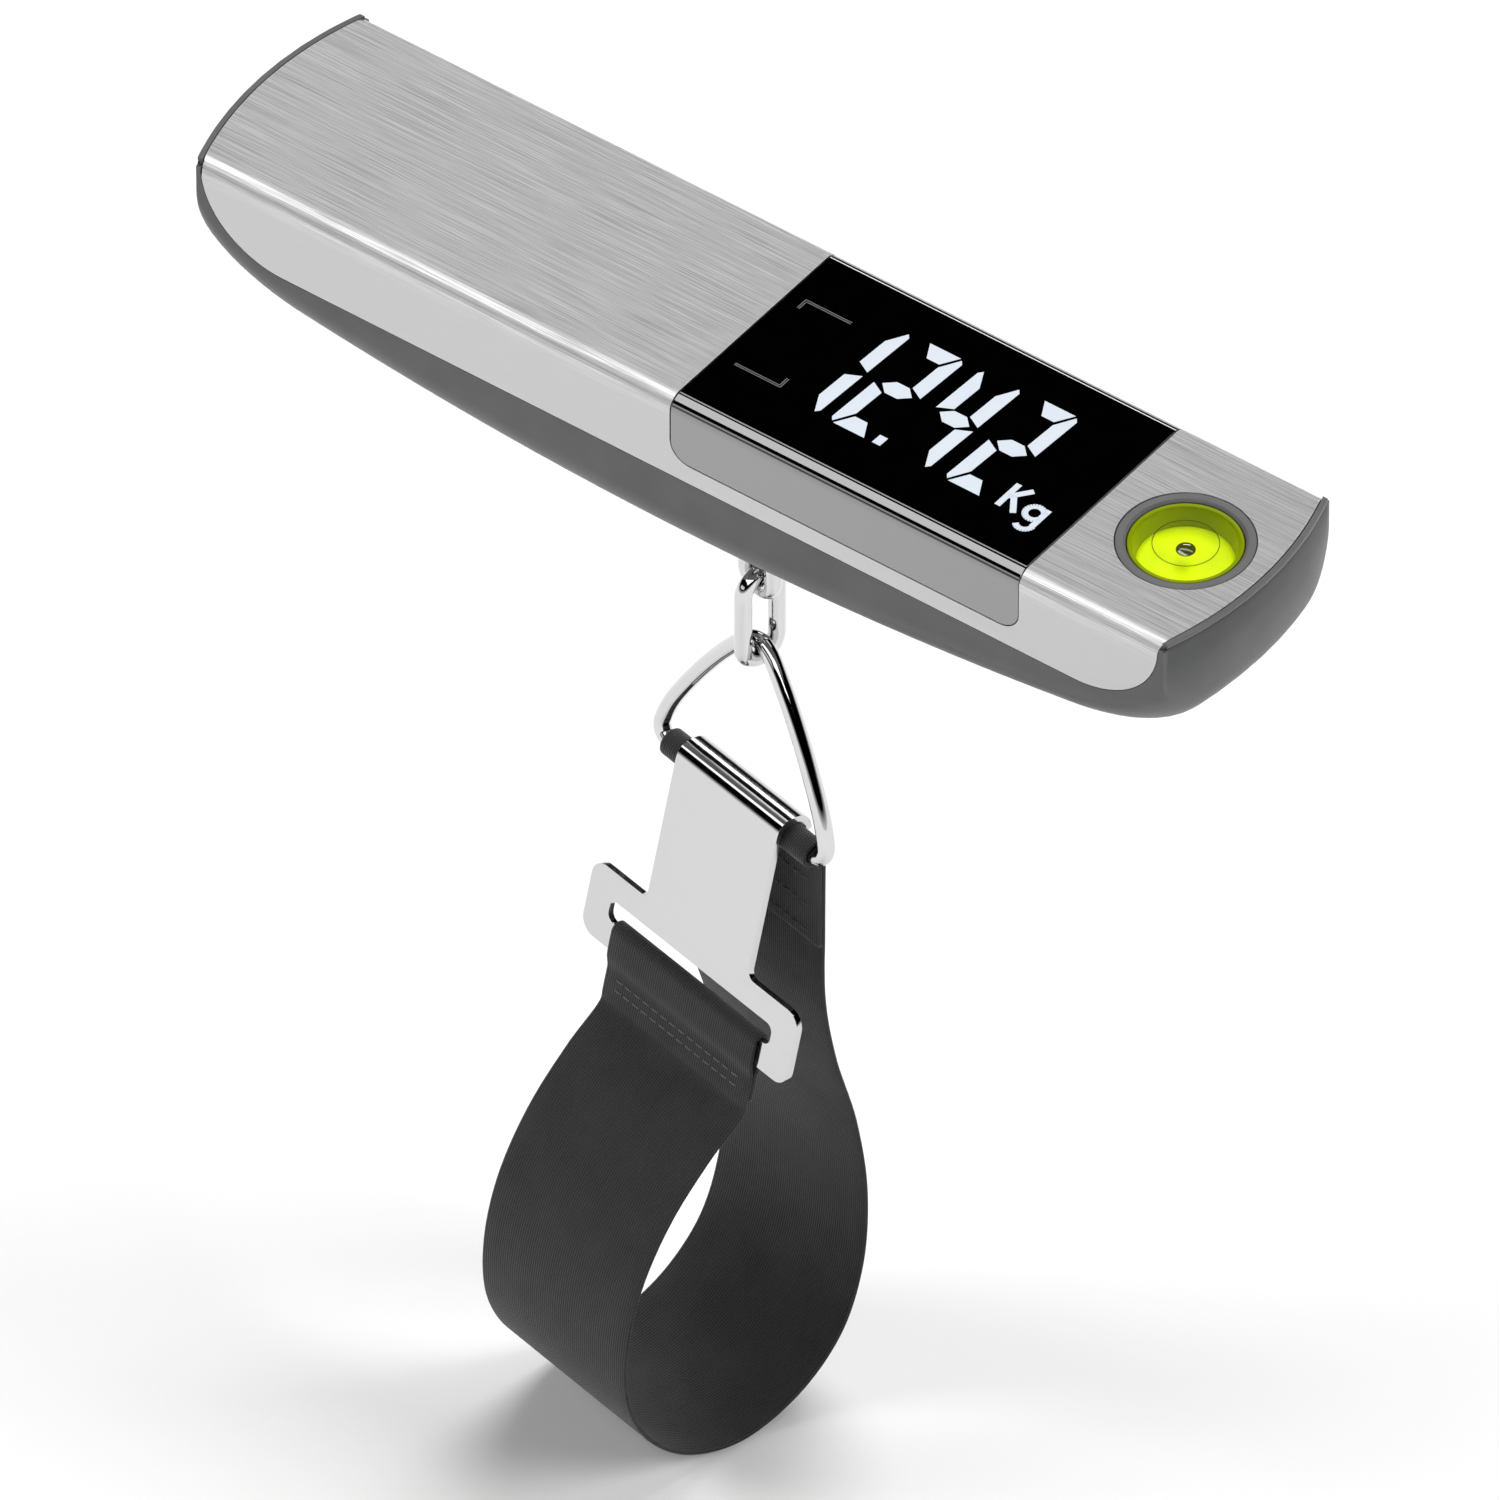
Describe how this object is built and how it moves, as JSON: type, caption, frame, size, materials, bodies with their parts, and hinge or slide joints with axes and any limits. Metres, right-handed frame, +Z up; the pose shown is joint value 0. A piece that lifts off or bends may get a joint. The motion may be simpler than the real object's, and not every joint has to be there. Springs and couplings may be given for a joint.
{
  "type": "digital luggage scale",
  "caption": "Hand-held luggage scale: slim steel-topped grip with a display and a bull's-eye level, and a swivelling link, D-ring and webbing loop with a hook plate below.",
  "frame": {"origin": "the middle of the grip's flat top face, straight above the swivel eye's axis", "axes": "+Z up, +X along the grip towards the level's end, +Y to the grip's far side"},
  "size_m": [0.16, 0.0556, 0.1773],
  "materials": {
    "brushed_steel": "stainless sheet, brushed along the grip",
    "grey_plastic": "satin grey moulded plastic with a fine spark-eroded texture",
    "black_window": "glossy black window",
    "zinc_steel": "zinc-plated steel",
    "lcd_glass": "smooth cell glass",
    "white_plastic": "white diffuser plastic",
    "black_rubber": "black silicone",
    "green_board": "green solder mask",
    "brass": "bright spring wire",
    "aluminium": "milled aluminium",
    "red_wire": "red insulated wire",
    "level_ring_plastic": "satin dark grey plastic",
    "level_yellow": "bright yellow-green level fluid seen through its vial",
    "level_lens": "clear polished lens",
    "level_bubble": "air bubble",
    "cell_jacket": "plain printed jacket",
    "chrome": "polished chrome plate",
    "hook_chrome": "satin chrome plate",
    "webbing": "black woven webbing with a fine diagonal weave"
  },
  "bodies": {
    "grip": {"steel_cover": "brushed_steel", "base_housing": "grey_plastic", "top_frame": "grey_plastic", "display_window": "black_window", "housing_screw_1": "zinc_steel", "housing_screw_2": "zinc_steel", "housing_screw_3": "zinc_steel", "housing_screw_4": "zinc_steel", "lcd_module": "lcd_glass", "backlight_panel": "white_plastic", "zebra_strip": "black_rubber", "main_board": "green_board", "touch_spring": "brass", "load_cell": "aluminium", "strain_gauge_pad": "white_plastic", "load_cell_screw_1": "zinc_steel", "load_cell_screw_2": "zinc_steel", "load_cell_lead": "red_wire", "outlet_bush": "grey_plastic", "level_ring": "level_ring_plastic", "level_cup": "level_yellow", "level_lens": "level_lens", "battery_1": "cell_jacket", "battery_2": "cell_jacket", "battery_spring_1": "zinc_steel", "battery_spring_2": "zinc_steel", "contact_bridge": "zinc_steel", "contact_plus": "zinc_steel", "contact_minus": "zinc_steel", "battery_lead_plus": "red_wire", "battery_lead_minus": "black_rubber"},
    "door": {"battery_door": "grey_plastic"},
    "bubble": {"level_bubble": "level_bubble"},
    "eye": {"swivel_eye": "chrome", "eye_washer": "zinc_steel", "eye_nut": "zinc_steel"},
    "link": {"chain_link": "chrome"},
    "ring": {"d_ring": "chrome"},
    "webbing": {"strap": "webbing"},
    "hook": {"hook_plate": "hook_chrome", "strap_end": "webbing"}
  },
  "joints": [
    {"name": "battery_door_release", "type": "slide", "parent": "grip", "child": "door", "axis": [0, 0, -1], "range_m": [0, 0.012]},
    {"name": "bubble_travel", "type": "slide", "parent": "grip", "child": "bubble", "axis": [1, 0, 0], "range_m": [-0.005, 0.005]},
    {"name": "eye_swivel", "type": "hinge", "parent": "grip", "child": "eye", "pos_m": [0, 0, -0.028], "axis": [0, 0, 1], "continuous": true},
    {"name": "link_swing", "type": "hinge", "parent": "eye", "child": "link", "pos_m": [0, 0, -0.04505], "axis": [0.9763, -0.2164, 0], "range_deg": [-45, 45]},
    {"name": "ring_swing", "type": "hinge", "parent": "link", "child": "ring", "pos_m": [0, 0, -0.057], "axis": [0.2151, 0.97, -0.1132], "range_deg": [-35, 35]},
    {"name": "strap_swing", "type": "hinge", "parent": "ring", "child": "webbing", "pos_m": [-0.00064, -0.00286, -0.08018], "axis": [0.9763, -0.2164, 0], "range_deg": [-45, 45]},
    {"name": "hook_release", "type": "slide", "parent": "webbing", "child": "hook", "axis": [0.0487, 0.2196, 0.9744], "range_m": [0, 0.005]}
  ]
}
